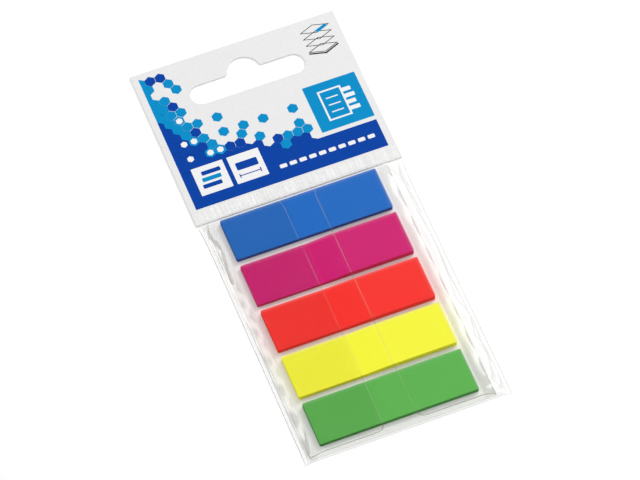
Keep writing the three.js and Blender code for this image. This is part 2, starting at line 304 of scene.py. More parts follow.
class FilmSettings(PropertyGroup):
    """The clear film of the pouch and of the folded sheet."""

    ridge: FloatProperty(
        name="Ridge",
        description="Height of the heat seal's ridges",
        default=0.12 * MM,
        unit="LENGTH",
    )
    haze: FloatProperty(name="Haze", description="What one skin of film hides", default=0.014)
    # The sheet's back colour, under the painted light of the tabs
    tint: FloatVectorProperty(
        name="Sheet",
        description="Colour of the sheet's back, before the tabs' own",
        subtype="COLOR",
        default=paint(230, 222, 212),
    )
    wrap: FloatVectorProperty(
        name="Pouch",
        description="Colour the pouch adds",
        subtype="COLOR",
        default=paint(216, 216, 211),
    )


class StageSettings(PropertyGroup):
    """Floor, light and camera."""

    floor: FloatVectorProperty(
        name="Floor", description="Colour of the floor", subtype="COLOR", default=(0.9, 0.9, 0.9)
    )
    fill: FloatProperty(name="Fill", description="Light from all around", default=0.68)
    key: FloatProperty(name="Key", description="Power of the softbox", default=4.2, unit="POWER")
    lens: FloatProperty(name="Lens", description="Focal length in mm", default=253.125)


# Shader helpers


def connect(tree, node, values):
    """Sets a node's inputs to values, or links them to other nodes' outputs."""
    for name, value in values.items():
        if isinstance(value, bpy.types.NodeSocket):
            tree.links.new(value, node.inputs[name])
        else:
            node.inputs[name].default_value = value


def place(tree, kind, values=None, **attributes):
    """A shader node with its attributes, values and links set."""
    node = tree.nodes.new(kind)
    for name, value in attributes.items():
        setattr(node, name, value)
    connect(tree, node, values or {})
    return node


def maths(tree, operation, first, second=0.0, third=0.0, clamp=False):
    """The output of a Math node."""
    values = {0: first, 1: second, 2: third}
    node = place(tree, "ShaderNodeMath", values, operation=operation, use_clamp=clamp)
    return node.outputs[0]


def object_place(tree):
    """The X, Y and Z of a place on the object."""
    spot = place(tree, "ShaderNodeTexCoord").outputs["Object"]
    return place(tree, "ShaderNodeSeparateXYZ", {0: spot}).outputs


def ramp_over(tree, value, span, first=0.0, last=1.0):
    """A value that runs from the first to the last over a span of places in mm."""
    start, end = span
    ends = {"Value": value, "From Min": start * MM, "From Max": end * MM}
    ends.update({"To Min": first, "To Max": last})
    return place(tree, "ShaderNodeMapRange", ends).outputs["Result"]


def blend(tree, share, first, second):
    """The output of a colour mix."""
    first, second = (
        colour if isinstance(colour, bpy.types.NodeSocket) else (*colour, 1.0)
        for colour in (first, second)
    )
    values = {0: share, 6: first, 7: second}
    return place(tree, "ShaderNodeMix", values, data_type="RGBA").outputs[2]


def new_group(name, inputs, outputs):
    """An empty shader node group with named sockets."""
    group = bpy.data.node_groups.new(name, "ShaderNodeTree")
    for label, default in inputs:
        socket = group.interface.new_socket(
            name=label, in_out="INPUT", socket_type="NodeSocketFloat"
        )
        socket.default_value = default
    for label, kind in outputs:
        group.interface.new_socket(name=label, in_out="OUTPUT", socket_type=kind)
    return group, group.nodes.new("NodeGroupInput"), group.nodes.new("NodeGroupOutput")


def standing_group():
    """A mask of the faces that stand up rather than lie flat."""
    name = "Standing faces"
    if name in bpy.data.node_groups:
        return bpy.data.node_groups[name]
    group, start, end = new_group(name, [("Sharpness", 6.0)], [("Mask", "NodeSocketFloat")])
    geometry = place(group, "ShaderNodeNewGeometry")
    split = place(group, "ShaderNodeSeparateXYZ", {0: geometry.outputs["Normal"]})
    upright = maths(group, "ABSOLUTE", split.outputs["Z"])
    lean = maths(group, "SUBTRACT", 1.0, upright)
    mask = maths(group, "MULTIPLY", lean, start.outputs["Sharpness"], clamp=True)
    connect(group, end, {"Mask": mask})
    return group


def mottle_group():
    """Fine uneven tone and relief, as on drawn film and coated board."""
    name = "Mottle"
    if name in bpy.data.node_groups:
        return bpy.data.node_groups[name]
    inputs = [("Scale", 2500.0), ("Broad", 120.0), ("Depth", 0.000002)]
    outputs = [
        ("Tone", "NodeSocketFloat"),
        ("Cloud", "NodeSocketFloat"),
        ("Normal", "NodeSocketVector"),
    ]
    group, start, end = new_group(name, inputs, outputs)
    spot = place(group, "ShaderNodeTexCoord").outputs["Object"]
    fine, broad = (
        place(
            group,
            "ShaderNodeTexNoise",
            {"Vector": spot, "Scale": start.outputs[scale], "Detail": detail},
        ).outputs[0]
        for scale, detail in (("Scale", 3.0), ("Broad", 2.0))
    )
    bump = place(group, "ShaderNodeBump", {"Height": fine, "Distance": start.outputs["Depth"]})
    tone = place(
        group, "ShaderNodeMapRange", {"Value": fine, "From Min": 0.33, "From Max": 0.67}
    )
    made = {"Tone": tone.outputs["Result"], "Cloud": broad, "Normal": bump.outputs["Normal"]}
    connect(group, end, made)
    return group


def use(tree, group, **values):
    """The outputs of a node group placed in a material."""
    return place(tree, "ShaderNodeGroup", values, node_tree=group).outputs


def new_material(name):
    """A material, its node tree and its Principled shader."""
    material = bpy.data.materials.new(name)
    material.use_nodes = True
    return material, material.node_tree, material.node_tree.nodes["Principled BSDF"]


def toned(tree, colour, tone, spread):
    """A colour that varies a little with a tone."""
    darker = tuple(value * (1 - spread) for value in colour)
    lighter = tuple(min(1.0, value * (1 + spread)) for value in colour)
    return blend(tree, tone, darker, lighter)


def coated_material(name, colour, spread=0.05):
    """Printed and coated board in one colour."""
    material, tree, shader = new_material(name)
    mottle = use(tree, mottle_group(), Scale=1800.0, Depth=0.0000015)
    looks = {
        "Base Color": toned(tree, colour, mottle["Tone"], spread),
        "Normal": mottle["Normal"],
        "Roughness": 0.5,
        "Specular IOR Level": 0.06,
    }
    connect(tree, shader, looks)
    return material


def card_material(card, raw):
    """The card: its printed face, its white cut edges and its back."""
    material, tree, shader = new_material("Coated card")
    mottle = use(tree, mottle_group(), Scale=1500.0, Depth=0.000002)
    standing = use(tree, standing_group(), Sharpness=4.0)["Mask"]
    face = toned(tree, card, mottle["Tone"], 0.02)
    edge = toned(tree, raw, mottle["Tone"], 0.06)
    looks = {
        "Base Color": blend(tree, standing, face, edge),
        "Normal": mottle["Normal"],
        "Roughness": 0.5,
        "Specular IOR Level": 0.2,
    }
    connect(tree, shader, looks)
    return material


def tab_material(name, colour, roughness, spread, high=None):
    """Coloured satin film with a fine grain, and painted light that makes a face paler along its
    far edges.
    """
    material, tree, shader = new_material(name)
    mottle = use(tree, mottle_group(), Scale=2100.0, Broad=90.0, Depth=0.000003)
    spot = object_place(tree)
    grain = toned(tree, colour, mottle["Tone"], spread)
    wide = tuple(min(1.0, value * 1.05 + 0.004) for value in colour)
    share = maths(tree, "MULTIPLY", mottle["Cloud"], 0.3, clamp=True)
    even = blend(tree, share, grain, wide)
    # Darker towards the left end of the face
    deeper = tuple(value * 0.82 for value in colour)
    brighter = tuple(value * 0.94 for value in colour)
    left = blend(tree, mottle["Tone"], deeper, brighter)
    surface = blend(tree, ramp_over(tree, spot["X"], DARK_LEFT_SPAN), left, even)
    # Painted light: the face pales towards its upper and outer edges, as if lit through them
    if high is not None:
        upper = ramp_over(tree, spot["Y"], (high.y - RIM_LIGHT_UPPER, high.y))
        outer = ramp_over(tree, spot["X"], (high.x - RIM_LIGHT_OUTER, high.x))
        rim = maths(tree, "POWER", maths(tree, "MAXIMUM", upper, outer), 2.0)
        pale = tuple(value * 0.7 + 0.22 for value in colour)
        surface = blend(tree, maths(tree, "MULTIPLY", rim, 0.5), surface, pale)
    looks = {
        "Base Color": surface,
        "Normal": mottle["Normal"],
        "Roughness": roughness,
        "Specular IOR Level": 0.12,
    }
    connect(tree, shader, looks)
    return material


def film_alpha(tree, haze, steep, edge):
    """What clear film hides: little face on, more at a glance and at its folds."""
    standing = use(tree, standing_group(), Sharpness=steep)["Mask"]
    mottle = use(tree, mottle_group(), Scale=300.0, Broad=60.0, Depth=0.000001)
    glance = place(tree, "ShaderNodeLayerWeight", {"Blend": 0.25}).outputs["Facing"]
    glow = maths(tree, "MULTIPLY", maths(tree, "POWER", glance, 2.5), 0.25)
    fold = maths(tree, "MULTIPLY", standing, edge)
    base = maths(tree, "MULTIPLY_ADD", mottle["Cloud"], haze, haze * 0.5)
    hidden = maths(tree, "ADD", maths(tree, "ADD", glow, fold), base, clamp=True)
    back = place(tree, "ShaderNodeNewGeometry").outputs["Backfacing"]
    front = maths(tree, "SUBTRACT", 1.0, maths(tree, "MULTIPLY", back, 0.6))
    return maths(tree, "MULTIPLY", hidden, front, clamp=True), mottle["Tone"]


def pouch_material(wrap, haze):
    """Thin bright film that catches the light on its creases, with painted shade that makes it
    greyer at the left.
    """
    material, tree, shader = new_material("Pouch film")
    spot = object_place(tree)
    mouth = ramp_over(tree, spot["Y"], MOUTH_FADE, 0.55, 0.16)
    fold = ramp_over(tree, spot["Y"], FOLD_FADE, 0.5, 1.0)
    hidden, tone = film_alpha(tree, haze, 3.5, maths(tree, "MULTIPLY", mouth, fold))
    # Painted shade: the film turns greyer and less clear towards its left side
    left_shade = ramp_over(tree, spot["X"], LEFT_SHADE_SPAN)
    painted_alpha = maths(tree, "MULTIPLY", left_shade, 0.045)
    shade = maths(tree, "MULTIPLY", left_shade, 0.5)
    film = toned(tree, wrap, tone, 0.06)
    looks = {
        "Base Color": blend(tree, shade, film, paint(120, 114, 112)),
        "Alpha": maths(tree, "ADD", hidden, painted_alpha, clamp=True),
        "Metallic": 0.5,
        "Roughness": 0.12,
    }
    connect(tree, shader, looks)
    return material


def painted_tab_light(tint):
    """The painted light of each stack on the sheet's back, with its place on the ramp."""
    foot, head = SHEET_SPAN
    for name in sorted(STACKS, key=lambda name: box_mm(name)[0].y):
        low, high = box_mm(name)
        tab = STACKS[name][2]
        taken = TAB_LIGHT_SHARE * max(tab[0], tab[1])
        tab_light = [pale + (value - pale) * taken for pale, value in zip(tint, tab)]
        yield ((low.y + high.y) / 2 - foot) / (head - foot), tab_light


def sheet_material(tint, haze):
    """Thicker clear film, whose back carries painted coloured light from the tabs that lie on it,
    blended between the stacks across the gaps.
    """
    material, tree, shader = new_material("Sheet film")
    spot = object_place(tree)
    edge = ramp_over(tree, spot["Y"], HEAD_FADE, 0.5, 0.12)
    hidden, tone = film_alpha(tree, haze * 0.5, 1.6, edge)
    # Painted light: the sheet's back takes on the tabs' colours, as light shone through them
    lowest = maths(tree, "LESS_THAN", spot["Z"], BACK_TOP * MM)
    ramp = place(tree, "ShaderNodeValToRGB", {"Fac": ramp_over(tree, spot["Y"], SHEET_SPAN)})
    bands = ramp.color_ramp
    bands.interpolation = "EASE"
    while len(bands.elements) < len(STACKS):
        bands.elements.new(0.5)
    for element, (share, tab_light) in zip(bands.elements, painted_tab_light(tint)):
        element.position = share
        element.color = (*tab_light, 1.0)
    film = toned(tree, paint(150, 150, 142), tone, 0.06)
    margin = ramp_over(tree, spot["X"], RIGHT_MARGIN)
    lower = ramp_over(tree, spot["Y"], LOWER_MARGIN, 0.02, 0.13)
    painted_alpha = maths(tree, "MULTIPLY", lowest, 0.13)
    layers = maths(tree, "MULTIPLY_ADD", margin, lower, painted_alpha)
    looks = {
        "Base Color": blend(tree, lowest, film, ramp.outputs["Color"]),
        "Alpha": maths(tree, "ADD", hidden, layers, clamp=True),
        "Metallic": 0.0,
        "Roughness": 0.2,
    }
    connect(tree, shader, looks)
    return material


def edge_material():
    """The greenish cut edge of thick clear film, in painted light and shade: lighter where a tab
    lies under it, darker where none does.
    """
    material, tree, shader = new_material("Film edge")
    tone = use(tree, mottle_group(), Scale=700.0, Broad=90.0, Depth=0.000001)["Cloud"]
    spot = object_place(tree)
    # Painted shade off the tabs and painted light over them, along the cut edges
    below = maths(tree, "LESS_THAN", spot["Y"], FOOT_LINES * MM)
    aside = maths(tree, "ABSOLUTE", maths(tree, "SUBTRACT", spot["X"], STACK_MIDDLE * MM))
    beside = maths(tree, "GREATER_THAN", aside, STACK_HALF * MM)
    clear = maths(tree, "MAXIMUM", below, beside)
    painted_light_over_tabs = blend(tree, tone, paint(158, 164, 134), paint(206, 208, 170))
    share = maths(tree, "MULTIPLY", tone, 0.45)
    head = ramp_over(tree, spot["Y"], HEAD_LINES, 1.0, 0.2)
    lines = maths(tree, "MULTIPLY", share, head)
    extra = maths(tree, "MULTIPLY", below, 0.5)
    looks = {
        "Base Color": blend(tree, clear, painted_light_over_tabs, paint(104, 114, 92)),
        "Alpha": maths(tree, "ADD", lines, extra, clamp=True),
        "Roughness": 0.3,
    }
    connect(tree, shader, looks)
    return material


def seal_material():
    """Film milky from the sealing bar, in uneven patches."""
    material, tree, shader = new_material("Heat seal")
    mottle = use(tree, mottle_group(), Scale=900.0, Broad=520.0, Depth=0.000006)
    looks = {
        "Base Color": blend(tree, mottle["Cloud"], paint(236, 236, 234), paint(252, 252, 250)),
        "Alpha": maths(tree, "MULTIPLY_ADD", mottle["Cloud"], 0.5, 0.3),
        "Normal": mottle["Normal"],
        "Roughness": 0.25,
    }
    connect(tree, shader, looks)
    return material


def seen_rays(tree):
    """A mask of the rays that show the background: to the eye, off gloss and through film."""
    rays = place(tree, "ShaderNodeLightPath")
    eye = rays.outputs["Is Camera Ray"]
    either = maths(tree, "MAXIMUM", eye, rays.outputs["Is Glossy Ray"])
    return maths(tree, "MAXIMUM", either, rays.outputs["Is Transmission Ray"])


def floor_material(colour):
    """Plain pale paper that reads white to the camera and keeps its shadow."""
    material, tree, shader = new_material("Pale paper")
    cloud = use(tree, mottle_group(), Scale=400.0, Broad=20.0)["Cloud"]
    glow = maths(tree, "MULTIPLY", seen_rays(tree), FLOOR_GLOW)
    looks = {
        "Base Color": toned(tree, colour, cloud, 0.01),
        "Roughness": 0.9,
        "Specular IOR Level": 0.0,
        "Emission Color": blend(tree, glow, (0.0, 0.0, 0.0), (1.0, 1.0, 1.0)),
        "Emission Strength": 1.0,
    }
    connect(tree, shader, looks)
    return material


# Mesh helpers


def add_object(name, data):
    """A new object in the scene."""
    made = bpy.data.objects.new(name, data)
    bpy.context.scene.collection.objects.link(made)
    return made


def mesh_from(work, name, materials):
    """Turns a bmesh into a mesh with its materials."""
    mesh = bpy.data.meshes.new(name)
    work.to_mesh(mesh)
    work.free()
    for material in materials:
        mesh.materials.append(material)
    return mesh


def finish_mesh(name, work, materials, smooth=False):
    """Turns a bmesh in millimetres into a piece on the body, in metres."""
    bmesh.ops.scale(work, vec=(MM, MM, MM), verts=work.verts)
    mesh = mesh_from(work, name, materials)
    if smooth:
        mesh.shade_smooth()
    piece = add_object(name, mesh)
    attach(piece, BODY)
    return piece


def dress(node, material):
    """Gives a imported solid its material."""
    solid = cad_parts[node]
    solid.data.materials.clear()
    solid.data.materials.append(material)
    return solid


def let_light_through(piece):
    """Clear film throws no shadow on what it wraps and takes no diffuse light from it."""
    piece.visible_shadow = False
    piece.visible_diffuse = False


def new_faces(work, before):
    """The faces that weren't there before."""
    return [face for face in work.faces if face not in before]


def colour_new(work, before, index):
    """Gives the faces that weren't there before their material."""
    for face in new_faces(work, before):
        face.material_index = index


def rectangle(work, left, foot, right, top, height=0.0, columns=1, turn=0.0):
    """The points of a flat rectangle that is turned about its middle."""
    middle = Vector(((left + right) / 2, (foot + top) / 2, height))
    size = Matrix.Diagonal((right - left, top - foot, 1.0, 1.0))
    spot = Matrix.Translation(middle) @ Matrix.Rotation(math.radians(turn), 4, "Z") @ size
    made = bmesh.ops.create_grid(work, x_segments=columns, y_segments=1, size=0.5, matrix=spot)
    return made["verts"]


def round_corners(work, points, radius, segments):
    """Rounds those of some points that are a rectangle's corners."""
    bmesh.ops.bevel(
        work,
        geom=[point for point in points if len(point.link_edges) == 2],
        offset=radius,
        affect="VERTICES",
        segments=segments,
        profile=0.5,
        material=-1,
    )


def field(work, left, foot, right, top, height, index=0, radius=0.0, turn=0.0):
    """A flat field of ink, with its corners rounded."""
    before = set(work.faces)
    points = rectangle(work, left, foot, right, top, height, turn=turn)
    if radius:
        round_corners(work, points, radius, 5)
    colour_new(work, before, index)


def stroke(work, points, width, height, index=0):
    """A line drawn as a run of flat bars that meet at their ends."""
    spots = [Vector(point) for point in points]
    for number, (start, end) in enumerate(zip(spots, spots[1:])):
        along = end - start
        middle = (start + end) / 2
        half = (along.length + width) / 2
        turn = math.degrees(math.atan2(along.y, along.x))
        left, right = middle.x - half, middle.x + half
        foot, top = middle.y - width / 2, middle.y + width / 2
        field(work, left, foot, right, top, height + HAIR * number, index, turn=turn)


def cell(work, x, y, radius, height, index):
    """A honeycomb cell that stands on a point."""
    before = set(work.faces)
    spot = Matrix.Translation((x, y, height))
    bmesh.ops.create_circle(work, cap_ends=True, radius=radius, segments=6, matrix=spot)
    colour_new(work, before, index)


def laid_grid(work, columns, rows, spot_of):
    """A grid whose points are laid in place by their column and row."""
    made = bmesh.ops.create_grid(work, x_segments=columns - 1, y_segments=rows - 1, size=0.5)
    for vert in made["verts"]:
        column = round((vert.co.x + 0.5) * (columns - 1))
        row = round((vert.co.y + 0.5) * (rows - 1))
        vert.co = spot_of(column, row)


# The card and its print


class TABPACK_OT_card(Operator):
    """Gives the header card its coated face and white cut edges"""

    bl_idname = "tabpack.card"
    bl_label = "Finish the header card"

    def execute(self, context):
        """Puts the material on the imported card."""
        looks = context.scene.tabpack_card
        dress("header_card", card_material(looks.card, looks.raw))
        return {"FINISHED"}


def over_outline(across, y):
    """How far a place lies over the honeycomb's outline, square to it."""
    curves = [(rise * math.exp(-across / reach), reach) for rise, reach in OUTLINE]
    edge = sum((height for height, reach in curves), BAND_TOP + OUTLINE_LIFT)
    slope = sum(height / reach for height, reach in curves)
    return (y - edge) / math.hypot(1, slope)


class TABPACK_OT_print(Operator):
    """Prints the band, the honeycomb, the panel, the boxes and the drawing"""

    bl_idname = "tabpack.print"
    bl_label = "Print the header card"

    def execute(self, context):
        """Builds each field of ink as its own piece, apart from the card's own finish."""
        looks = context.scene.tabpack_card
        step = looks.ink / MM
        levels = [CARD_HIGH.z + step * layer for layer in range(1, 5)]
        deep = coated_material("Deep blue ink", looks.deep)
        light = coated_material("Light blue ink", looks.light)
        white = coated_material("White ink", paint(245, 245, 246), spread=0.02)
        dark = coated_material("Dark ink", looks.dark)
        self.band(levels, deep, white)
        self.honeycomb(levels, looks.cell / MM, (deep, light, white))
        self.panel(levels, light, white)
        self.boxes(levels, white, deep, light)
        self.drawing(levels, dark, light)
        return {"FINISHED"}

    def band(self, levels, deep, white):
        """The solid band at the foot, with a dashed rule."""
        work = bmesh.new()
        left, right = BAND_SIDE
        field(work, left, BAND_FOOT, right, BAND_TOP, levels[0])
        for dash in range(DASH_COUNT):
            x = DASH_START + dash * DASH_PITCH
            field(work, x, DASH_FOOT, x + DASH_LENGTH, DASH_TOP, levels[1], 1, radius=0.3)
        finish_mesh("print_band", work, (deep, white))

    def honeycomb(self, levels, pitch, inks):
        """Cells that close up to the left and the foot and thin out above."""
        chance = random.Random(13)
        work = bmesh.new()
        left = BAND_SIDE[0]
        radius = pitch / math.sqrt(3)
        rise = pitch * ROW_RISE
        for row in range(int((CARD_HIGH.y - BAND_TOP) / rise) + 2):
            y = BAND_TOP - pitch * FIRST_ROW_SINK + row * rise
            for column in range(CELL_COLUMNS):
                x = left + (column + 0.5 * (row % 2)) * pitch
                if x > PATTERN_RIGHT or (x > CORNER_LEFT and y > CORNER_FOOT):
                    continue
                by_box = x < BOXES_RIGHT and y < BOXES_TOP
                ahead = over_outline(x - left, y)
                level = levels[0] + HAIR * ((row + 2 * column) % 3)
                draw = chance.random()
                if ahead < SOLID_DEPTH or row == 0:
                    cell(work, x, y, radius * CLOSE_SIZE, level, 0)
                elif ahead < 0 or by_box:
                    ink = 1 if draw < LIGHT_SHARE and not by_box else 0
                    cell(work, x, y, radius * CLOSE_SIZE, level, ink)
                elif draw < LOOSE_SHARE * math.exp(-ahead / LOOSE_REACH) and ahead < LOOSE_DEPTH:
                    ink = 1 if chance.random() < LOOSE_LIGHT_SHARE else 0
                    cell(work, x, y, radius * LOOSE_SIZE, level, ink)
                inside = x - left > pitch and not by_box and row > 0
                near_edge = WHITE_DEPTHS[0] < ahead < WHITE_DEPTHS[1]
                if near_edge and inside and chance.random() < WHITE_SHARE:
                    cell(work, x, y, radius * WHITE_SIZE, levels[1], 2)
        cuts = (
            ((left, 0, 0), (-1, 0, 0)),
            ((0, BAND_TOP, 0), (0, -1, 0)),
            ((0, CARD_HIGH.y - PRINT_MARGIN, 0), (0, 1, 0)),
        )
        for spot, outward in cuts:
            geometry = work.verts[:] + work.edges[:] + work.faces[:]
            bmesh.ops.bisect_plane(
                work, geom=geometry, plane_co=spot, plane_no=outward, clear_outer=True
            )
        finish_mesh("print_honeycomb", work, inks)

    def panel(self, levels, light, white):
        """The light panel with a page and its markers."""
        work = bmesh.new()
        field(work, *PANEL, levels[0], radius=0.25)
        left, foot, right, top = PAGE
        page = ((left, foot), (right, foot), (right, top), (left, top), (left, foot))
        stroke(work, page, PAGE_LINE, levels[1], 1)
        for row, end in enumerate(MARKER_ENDS):
            y = MARKER_FOOT + row * MARKER_PITCH
            field(work, right, y, end, y + MARKER_HEIGHT, levels[1], 1, radius=0.2)
        for row in range(LINE_COUNT):
            y = LINE_FOOT + row * LINE_PITCH
            stroke(work, ((LINE_LEFT, y), (LINE_RIGHT, y)), TEXT_LINE, levels[1], 1)
        finish_mesh("print_panel", work, (light, white))

    def boxes(self, levels, white, deep, light):
        """Two white boxes, one with a fan of tabs and one with a tab and its length."""
        work = bmesh.new()
        for left in BOX_LEFTS:
            field(work, left, BOX_FOOT, left + BOX_WIDTH, BOX_TOP, levels[2], radius=0.15)
        for row in range(PILE_COUNT):
            foot = PILE_FOOT + row * PILE_PITCH
            left, right = (side + PILE_SHIFT * row for side in (PILE_LEFT, PILE_RIGHT))
            ink = 1 if row % 2 == 0 else 2
            field(work, left, foot, right, foot + PILE_HEIGHT, levels[3], ink, radius=0.25)
        field(work, *SINGLE_TAB, levels[3], 1, radius=0.3)
        for x in (RULE_LEFT, RULE_RIGHT):
            stroke(work, ((x, RULE_FOOT), (x, RULE_TOP)), RULE_LINE, levels[3], 1)
        y = (RULE_FOOT + RULE_TOP) / 2
        stroke(work, ((RULE_LEFT, y), (RULE_RIGHT, y)), RULE_LINE, levels[3], 1)
        finish_mesh("print_boxes", work, (white, deep, light))

    def drawing(self, levels, dark, light):
        """A pile of pages with a marker between them, in thin lines."""
        work = bmesh.new()
        for row in range(SHEAF_COUNT):
            foot = SHEAF_FOOT + row * SHEAF_PITCH
            page = [(x, foot + y) for x, y in SHEAF_PAGE]
            stroke(work, page, SHEAF_LINE, levels[0])
        stroke(work, SHEAF_EDGE, BOLD_LINE, levels[0])
        field(work, *SHEAF_MARKER, levels[1], 1, turn=SHEAF_MARKER_TURN)
        finish_mesh("print_drawing", work, (dark, light))


# The stacks of tabs


def fan_height(x, left, right):
    """The height of a stack that thickens over its middle."""
    share = min(1.0, max(0.0, (x - FAN_START) / (FAN_END - FAN_START)))
    return left + (right - left) * share * share * (3 - 2 * share)


def add_leaf(work, low, high, corner, shares, heights):
    """One tab: a plate with rounded corners that follows the fan of its stack."""
    before = set(work.faces)
    points = rectangle(work, low.x, low.y, high.x, high.y, low.z, LEAF_COLUMNS)
    round_corners(work, points, corner, 4)
    plate = new_faces(work, before)
    raised = bmesh.ops.extrude_face_region(work, geom=plate, use_keep_orig=True)["geom"]
    upper = {part for part in raised if isinstance(part, bmesh.types.BMVert)}
    faces = new_faces(work, before)
    for vert in {vert for face in faces for vert in face.verts}:
        vert.co.z = low.z + shares[vert in upper] * fan_height(vert.co.x, *heights)
    bmesh.ops.recalc_face_normals(work, faces=faces)
    for face in faces:
        face.material_index = 0 if abs(face.normal.z) > 0.7 else 1


class TABPACK_OT_tabs(Operator):
    """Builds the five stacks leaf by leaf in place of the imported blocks"""

    bl_idname = "tabpack.tabs"
    bl_label = "Stack the tabs"

    def execute(self, context):
        """Builds one piece for each stack."""
        looks = context.scene.tabpack_tabs
        chance = random.Random(7)
        corner, stray, room = (size / MM for size in (looks.corner, looks.stray, looks.room))
        inset = Vector((stray, stray, 0))
        for name, (left, right, colour, edge) in STACKS.items():
            low, high = box_mm(name)
            heights = (left - room, right - room)
            work = bmesh.new()
            for leaf in range(looks.leaves):
                shift = Vector((chance.uniform(-1, 1), chance.uniform(-1, 1), 0)) * stray
                shares = (leaf / looks.leaves, (leaf + LEAF_SHARE) / looks.leaves)
                near, far = low + inset + shift, high - inset + shift
                add_leaf(work, near, far, corner, shares, heights)
            face = tab_material(f"Tab face {name}", colour, 0.4, 0.08, high)
            side = tab_material(f"Tab edge {name}", edge, 0.5, 0.12)
            piece = finish_mesh(f"stack_{name}", work, (face, side))
            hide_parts(name)
        return {"FINISHED"}


# The clear film


def ease(distance, reach):
    """A rise from 0 to 1 that levels out at the reach."""
    return np.sin(np.clip(distance / reach, 0, 1) * math.pi / 2)


def side_line(y):
    """Half the pouch's width at a height up the pack."""
    below = np.maximum(0, CARD_LOW.y - y)
    return CARD_HIGH.x - WAIST * (1 - np.exp(-below / WAIST_REACH))


def crease_height(x, y):
    """The height that the creases add to the film."""
    total = np.zeros_like(x)
    for points, width, height in CREASES:
        nearest = np.full_like(x, np.inf)
        for (ax, ay), (bx, by) in zip(points, points[1:]):
            run = np.array([bx - ax, by - ay])
            share = np.clip(((x - ax) * run[0] + (y - ay) * run[1]) / (run @ run), 0, 1)
            away = np.hypot(x - ax - share * run[0], y - ay - share * run[1])
            nearest = np.minimum(nearest, away)
        total += height * np.exp(-((nearest / width) ** 2))
    return total


def film_height(x, y):
    """The outer height of the front film over the plan."""
    shoulder = np.where(x < (SHEET_LOW.x + SHEET_HIGH.x) / 2, *SHOULDERS)
    seal = np.maximum(0, side_line(y) - np.abs(x) - SIDE_SEAL)
    across = ease(seal, shoulder)
    from_fold = FOOT_LIP + (1 - FOOT_LIP) * ease(y - FOLD_Y, FOOT_RAMP)
    from_mouth = ease(CARD_LOW.y - y, MOUTH_RAMP)
    lip = LIP + (CARD_HIGH.z + FILM - LIP) * (1 - from_mouth)
    height = lip + (POUCH_HIGH.z - ROOF_DROP - lip) * across * from_fold * from_mouth
    wave = 0.5 - 0.5 * np.cos(2 * math.pi * (y - FOLD_Y - FOOT_RAMP) / PUCKER_PITCH)
    bulge = np.sin(np.minimum(1, seal / shoulder) * math.pi)
    height += PUCKER * wave * bulge * from_mouth
    ripple = np.sin(0.9 * x + 0.35 * y) * np.sin(0.23 * y + 1.3) - 1
    height += RIPPLE * ripple * across * from_mouth
    loose = np.clip(seal / LOOSE_FROM_SEAL, 0, 1) * from_mouth
    height += crease_height(x, y) * loose
    return np.minimum(height, POUCH_HIGH.z - CREASE_DROP)


def film_columns():
    """Places across the pouch as shares of its half width, closer at the sides."""
    outer = np.linspace(0, MARGIN_SHARE, MARGIN_COLUMNS)
    inner = np.linspace(MARGIN_SHARE, 1, MIDDLE_COLUMNS)[1:]
    left = np.concatenate([outer, inner]) - 1
    return np.concatenate([left, -left[:-1][::-1]])


def film_rows():
    """Places up the pouch, closer at the fold and the mouth."""
    foot, *others = (np.linspace(*run) for run in zip(ROW_STOPS, ROW_STOPS[1:], ROW_COUNTS))
    return np.concatenate([foot, *(run[1:] for run in others)])


class TABPACK_OT_pouch(Operator):
    """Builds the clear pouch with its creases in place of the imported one"""

    bl_idname = "tabpack.pouch"
    bl_label = "Build the pouch"

    def execute(self, context):
        """Builds front and back as one skin, open at the mouth."""
        looks = context.scene.tabpack_film
        shares, ys = np.meshgrid(film_columns(), film_rows())
        xs = shares * side_line(ys)
        corner = np.maximum(0, 1 - (side_line(ys) - np.abs(xs)) / EAR_REACH)
        foot = np.maximum(0, 1 - (ys - FOLD_Y) / FOOT_RAMP)
        pulled = ys - EAR_PULL * corner**2 * foot
        rim = (np.abs(shares) > 0.9999) | (np.abs(ys - FOLD_Y) < 1e-6)
        sealed = rim & (ease(CARD_LOW.y - ys, MOUTH_RAMP) > 0.99)
        front = np.where(sealed, FILM, film_height(xs, ys))
        back = np.where(sealed, FILM, 0.0)
        rows, columns = xs.shape
        work = bmesh.new()
        for zs in (front, back):
            skin = np.stack([xs, pulled, zs], axis=-1)
            laid_grid(work, columns, rows, lambda column, row: skin[row, column])
        bmesh.ops.remove_doubles(work, verts=work.verts, dist=0.0005)
        bmesh.ops.recalc_face_normals(work, faces=work.faces)
        material = pouch_material(looks.wrap, looks.haze)
        piece = finish_mesh("pouch_film", work, (material,), smooth=True)
        let_light_through(piece)
        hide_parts("pouch")
        self.heat_seal(looks.ridge / MM)
        return {"FINISHED"}

    def heat_seal(self, ridge):
        """The strip of fine ridges that the sealing bar leaves."""
        chance = random.Random(19)
        half = CARD_HIGH.x - SEAL_SIDE
        foot, head = CARD_LOW.y + SEAL_END, POUCH_HIGH.y - SEAL_END
        base = CARD_HIGH.z + FILM + SEAL_LIFT
        columns = []
        x = -half
        while x < half:
            width = chance.uniform(*RIDGE_WIDTHS)
            columns.append((x, chance.uniform(*RIDGE_FEET)))
            columns.append((min(half, x + width / 2), chance.uniform(*RIDGE_TOPS)))
            x += width
        columns.append((half, 0.0))
        rows = ((foot, 0.0), (foot + SEAL_SLOPE, 0.8), (head - SEAL_SLOPE, 1.0), (head, 0.0))

        def spot_of(column, row):
            """A place on the strip, raised by its ridge."""
            (x, lift), (y, share) = columns[column], rows[row]
            return x, y, base + ridge * lift * share

        work = bmesh.new()
        laid_grid(work, len(columns), len(rows), spot_of)
        piece = finish_mesh("heat_seal", work, (seal_material(),))
        let_light_through(piece)


